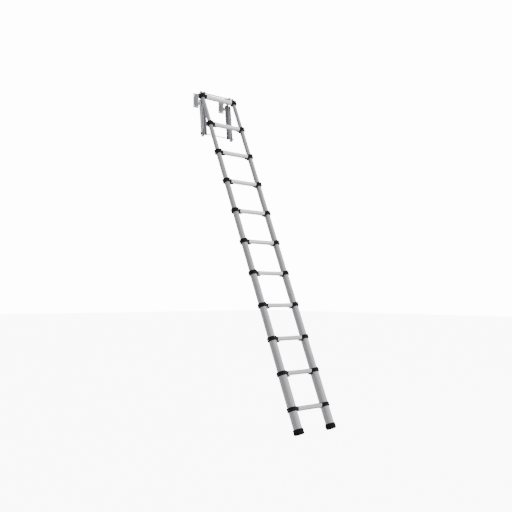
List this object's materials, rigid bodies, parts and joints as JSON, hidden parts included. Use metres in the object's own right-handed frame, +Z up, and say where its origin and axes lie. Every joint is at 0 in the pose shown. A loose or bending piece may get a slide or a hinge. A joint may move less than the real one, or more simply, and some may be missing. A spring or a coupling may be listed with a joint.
{
  "type": "telescoping ladder",
  "caption": "Telescoping loft ladder of nested aluminium tubes with level rungs, black collars and thumb latches, hung from two hatch brackets with a swing cradle.",
  "frame": {"origin": "on the floor, under the middle of the whole ladder's box", "axes": "+X along the rungs, to the right of a climber; +Y the way the ladder leans, towards the hatch brackets; +Z up"},
  "size_m": [0.451, 1.3198, 2.8307],
  "materials": {
    "tube_aluminium": "satin anodised, drawn along the tube",
    "rung_aluminium": "bright anodised, grooved tread",
    "black_plastic": "fine moulded texture",
    "latch_plastic": "smooth moulded plastic, worn by thumbs",
    "black_rubber": "matte rubber",
    "zinc_steel": "zinc plated",
    "dark_steel": "dark zinc plated"
  },
  "bodies": {
    "hatch_mount": {"hatch_brackets": "zinc_steel", "hinge_shaft": "zinc_steel", "hinge_clips": "dark_steel", "arm_pins": "zinc_steel"},
    "swing_cradle": {"arm_bars": "zinc_steel", "arm_links": "dark_steel", "cross_rod": "zinc_steel", "rod_nuts": "dark_steel"},
    "section_10": {"tubes_10": "tube_aluminium", "rung_11": "rung_aluminium", "collars_11": "black_plastic", "hanger_lugs": "zinc_steel"},
    "section_9": {"tubes_9": "tube_aluminium", "rung_10": "rung_aluminium", "collars_10": "black_plastic"},
    "section_8": {"tubes_8": "tube_aluminium", "rung_9": "rung_aluminium", "collars_9": "black_plastic"},
    "section_7": {"tubes_7": "tube_aluminium", "rung_8": "rung_aluminium", "collars_8": "black_plastic"},
    "section_6": {"tubes_6": "tube_aluminium", "rung_7": "rung_aluminium", "collars_7": "black_plastic"},
    "section_5": {"tubes_5": "tube_aluminium", "rung_6": "rung_aluminium", "collars_6": "black_plastic"},
    "section_4": {"tubes_4": "tube_aluminium", "rung_5": "rung_aluminium", "collars_5": "black_plastic"},
    "section_3": {"tubes_3": "tube_aluminium", "rung_4": "rung_aluminium", "collars_4": "black_plastic"},
    "section_2": {"tubes_2": "tube_aluminium", "rung_3": "rung_aluminium", "collars_3": "black_plastic"},
    "section_1": {"tubes_1": "tube_aluminium", "rung_2": "rung_aluminium", "collars_2": "black_plastic", "rung_1": "rung_aluminium", "collars_1": "black_plastic", "feet": "black_rubber"},
    "latch_2_left": {"latch_2_left": "latch_plastic"},
    "latch_2_right": {"latch_2_right": "latch_plastic"},
    "latch_3_left": {"latch_3_left": "latch_plastic"},
    "latch_3_right": {"latch_3_right": "latch_plastic"},
    "latch_4_left": {"latch_4_left": "latch_plastic"},
    "latch_4_right": {"latch_4_right": "latch_plastic"},
    "latch_5_left": {"latch_5_left": "latch_plastic"},
    "latch_5_right": {"latch_5_right": "latch_plastic"},
    "latch_6_left": {"latch_6_left": "latch_plastic"},
    "latch_6_right": {"latch_6_right": "latch_plastic"},
    "latch_7_left": {"latch_7_left": "latch_plastic"},
    "latch_7_right": {"latch_7_right": "latch_plastic"},
    "latch_8_left": {"latch_8_left": "latch_plastic"},
    "latch_8_right": {"latch_8_right": "latch_plastic"},
    "latch_9_left": {"latch_9_left": "latch_plastic"},
    "latch_9_right": {"latch_9_right": "latch_plastic"},
    "latch_10_left": {"latch_10_left": "latch_plastic"},
    "latch_10_right": {"latch_10_right": "latch_plastic"}
  },
  "joints": [
    {"name": "ladder_swing", "type": "hinge", "parent": "hatch_mount", "child": "section_10", "pos_m": [0, 0.54391, 2.81066], "axis": [-1, 0, 0], "range_deg": [0, 67.33]},
    {"name": "cradle_swing", "type": "hinge", "parent": "hatch_mount", "child": "swing_cradle", "pos_m": [0, 0.56991, 2.74466], "axis": [-1, 0, 0], "range_deg": [0, 83.8]},
    {"name": "section_9_slide", "type": "slide", "parent": "section_10", "child": "section_9", "axis": [0, 0.3854, 0.9227], "range_m": [0, 0.23]},
    {"name": "section_8_slide", "type": "slide", "parent": "section_9", "child": "section_8", "axis": [0, 0.3854, 0.9227], "range_m": [0, 0.23]},
    {"name": "section_7_slide", "type": "slide", "parent": "section_8", "child": "section_7", "axis": [0, 0.3854, 0.9227], "range_m": [0, 0.23]},
    {"name": "section_6_slide", "type": "slide", "parent": "section_7", "child": "section_6", "axis": [0, 0.3854, 0.9227], "range_m": [0, 0.23]},
    {"name": "section_5_slide", "type": "slide", "parent": "section_6", "child": "section_5", "axis": [0, 0.3854, 0.9227], "range_m": [0, 0.23]},
    {"name": "section_4_slide", "type": "slide", "parent": "section_5", "child": "section_4", "axis": [0, 0.3854, 0.9227], "range_m": [0, 0.23]},
    {"name": "section_3_slide", "type": "slide", "parent": "section_4", "child": "section_3", "axis": [0, 0.3854, 0.9227], "range_m": [0, 0.23]},
    {"name": "section_2_slide", "type": "slide", "parent": "section_3", "child": "section_2", "axis": [0, 0.3854, 0.9227], "range_m": [0, 0.23]},
    {"name": "section_1_slide", "type": "slide", "parent": "section_2", "child": "section_1", "axis": [0, 0.3854, 0.9227], "range_m": [0, 0.23]},
    {"name": "latch_2_left_press", "type": "slide", "parent": "section_1", "child": "latch_2_left", "axis": [1, 0, 0], "range_m": [0, 0.008], "stiffness_N_per_m": 400, "springref_m": -0.004},
    {"name": "latch_2_right_press", "type": "slide", "parent": "section_1", "child": "latch_2_right", "axis": [-1, 0, 0], "range_m": [0, 0.008], "stiffness_N_per_m": 400, "springref_m": -0.004},
    {"name": "latch_3_left_press", "type": "slide", "parent": "section_2", "child": "latch_3_left", "axis": [1, 0, 0], "range_m": [0, 0.008], "stiffness_N_per_m": 400, "springref_m": -0.004},
    {"name": "latch_3_right_press", "type": "slide", "parent": "section_2", "child": "latch_3_right", "axis": [-1, 0, 0], "range_m": [0, 0.008], "stiffness_N_per_m": 400, "springref_m": -0.004},
    {"name": "latch_4_left_press", "type": "slide", "parent": "section_3", "child": "latch_4_left", "axis": [1, 0, 0], "range_m": [0, 0.008], "stiffness_N_per_m": 400, "springref_m": -0.004},
    {"name": "latch_4_right_press", "type": "slide", "parent": "section_3", "child": "latch_4_right", "axis": [-1, 0, 0], "range_m": [0, 0.008], "stiffness_N_per_m": 400, "springref_m": -0.004},
    {"name": "latch_5_left_press", "type": "slide", "parent": "section_4", "child": "latch_5_left", "axis": [1, 0, 0], "range_m": [0, 0.008], "stiffness_N_per_m": 400, "springref_m": -0.004},
    {"name": "latch_5_right_press", "type": "slide", "parent": "section_4", "child": "latch_5_right", "axis": [-1, 0, 0], "range_m": [0, 0.008], "stiffness_N_per_m": 400, "springref_m": -0.004},
    {"name": "latch_6_left_press", "type": "slide", "parent": "section_5", "child": "latch_6_left", "axis": [1, 0, 0], "range_m": [0, 0.008], "stiffness_N_per_m": 400, "springref_m": -0.004},
    {"name": "latch_6_right_press", "type": "slide", "parent": "section_5", "child": "latch_6_right", "axis": [-1, 0, 0], "range_m": [0, 0.008], "stiffness_N_per_m": 400, "springref_m": -0.004},
    {"name": "latch_7_left_press", "type": "slide", "parent": "section_6", "child": "latch_7_left", "axis": [1, 0, 0], "range_m": [0, 0.008], "stiffness_N_per_m": 400, "springref_m": -0.004},
    {"name": "latch_7_right_press", "type": "slide", "parent": "section_6", "child": "latch_7_right", "axis": [-1, 0, 0], "range_m": [0, 0.008], "stiffness_N_per_m": 400, "springref_m": -0.004},
    {"name": "latch_8_left_press", "type": "slide", "parent": "section_7", "child": "latch_8_left", "axis": [1, 0, 0], "range_m": [0, 0.008], "stiffness_N_per_m": 400, "springref_m": -0.004},
    {"name": "latch_8_right_press", "type": "slide", "parent": "section_7", "child": "latch_8_right", "axis": [-1, 0, 0], "range_m": [0, 0.008], "stiffness_N_per_m": 400, "springref_m": -0.004},
    {"name": "latch_9_left_press", "type": "slide", "parent": "section_8", "child": "latch_9_left", "axis": [1, 0, 0], "range_m": [0, 0.008], "stiffness_N_per_m": 400, "springref_m": -0.004},
    {"name": "latch_9_right_press", "type": "slide", "parent": "section_8", "child": "latch_9_right", "axis": [-1, 0, 0], "range_m": [0, 0.008], "stiffness_N_per_m": 400, "springref_m": -0.004},
    {"name": "latch_10_left_press", "type": "slide", "parent": "section_9", "child": "latch_10_left", "axis": [1, 0, 0], "range_m": [0, 0.008], "stiffness_N_per_m": 400, "springref_m": -0.004},
    {"name": "latch_10_right_press", "type": "slide", "parent": "section_9", "child": "latch_10_right", "axis": [-1, 0, 0], "range_m": [0, 0.008], "stiffness_N_per_m": 400, "springref_m": -0.004}
  ],
  "couplings": [
    {"joint": "cradle_swing", "follows": "ladder_swing", "ratio": 1.2446}
  ]
}
